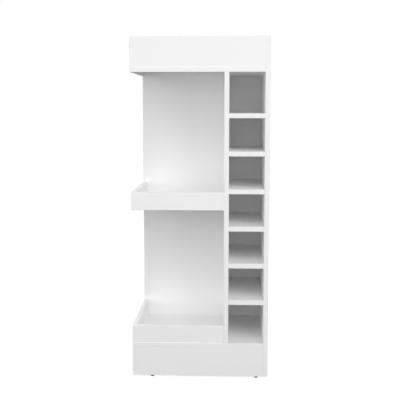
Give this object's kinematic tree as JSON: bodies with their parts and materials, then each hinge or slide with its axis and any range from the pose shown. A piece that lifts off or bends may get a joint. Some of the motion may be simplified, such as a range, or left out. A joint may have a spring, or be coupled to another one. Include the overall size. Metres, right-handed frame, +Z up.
{
  "type": "corner bar cabinet",
  "caption": "Tall open corner bar cabinet in white board: a column of bottle niches beside two open trays with low rims, on a plinth and under a matching header.",
  "frame": {"origin": "on the floor, under the middle of the cabinet's width and depth", "axes": "+Z up, +Y from the open front to the back panel, +X from the open left side to the side panel"},
  "size_m": [0.4404, 0.36, 1.097],
  "materials": {
    "white_melamine": "white melamine-faced particle board, fine satin, white edge band",
    "zinc_plated_steel": "bright zinc plate",
    "cast_zinc": "die-cast zinc, dull",
    "beech": "raw beech",
    "white_cap_film": "white film, satin",
    "brown_glide_plastic": "dark brown moulded plastic, satin"
  },
  "bodies": {
    "root": {"right_side_panel": "white_melamine", "back_panel": "white_melamine", "bottom_panel": "white_melamine", "top_panel": "white_melamine", "divider_panel": "white_melamine", "niche_shelf_1": "white_melamine", "niche_shelf_2": "white_melamine", "niche_shelf_3": "white_melamine", "niche_shelf_4": "white_melamine", "niche_shelf_5": "white_melamine", "niche_shelf_6": "white_melamine", "mid_tray_shelf": "white_melamine", "mid_tray_front_rail": "white_melamine", "mid_tray_left_rail": "white_melamine", "lower_tray_front_rail": "white_melamine", "lower_tray_left_rail": "white_melamine", "plinth_front": "white_melamine", "plinth_left": "white_melamine", "fascia_front": "white_melamine", "fascia_left": "white_melamine", "side_panel_screws": "zinc_plated_steel", "back_panel_screws": "zinc_plated_steel", "divider_screws": "zinc_plated_steel", "lower_tray_screws": "zinc_plated_steel", "side_panel_screw_caps": "white_cap_film", "niche_shelf_dowels": "beech", "tray_rail_dowels": "beech", "plinth_dowels": "beech", "fascia_dowels": "beech", "mid_tray_cams": "cast_zinc", "mid_tray_cam_bolts": "zinc_plated_steel", "glide_pads": "brown_glide_plastic", "glide_nails": "zinc_plated_steel"}
  },
  "joints": []
}
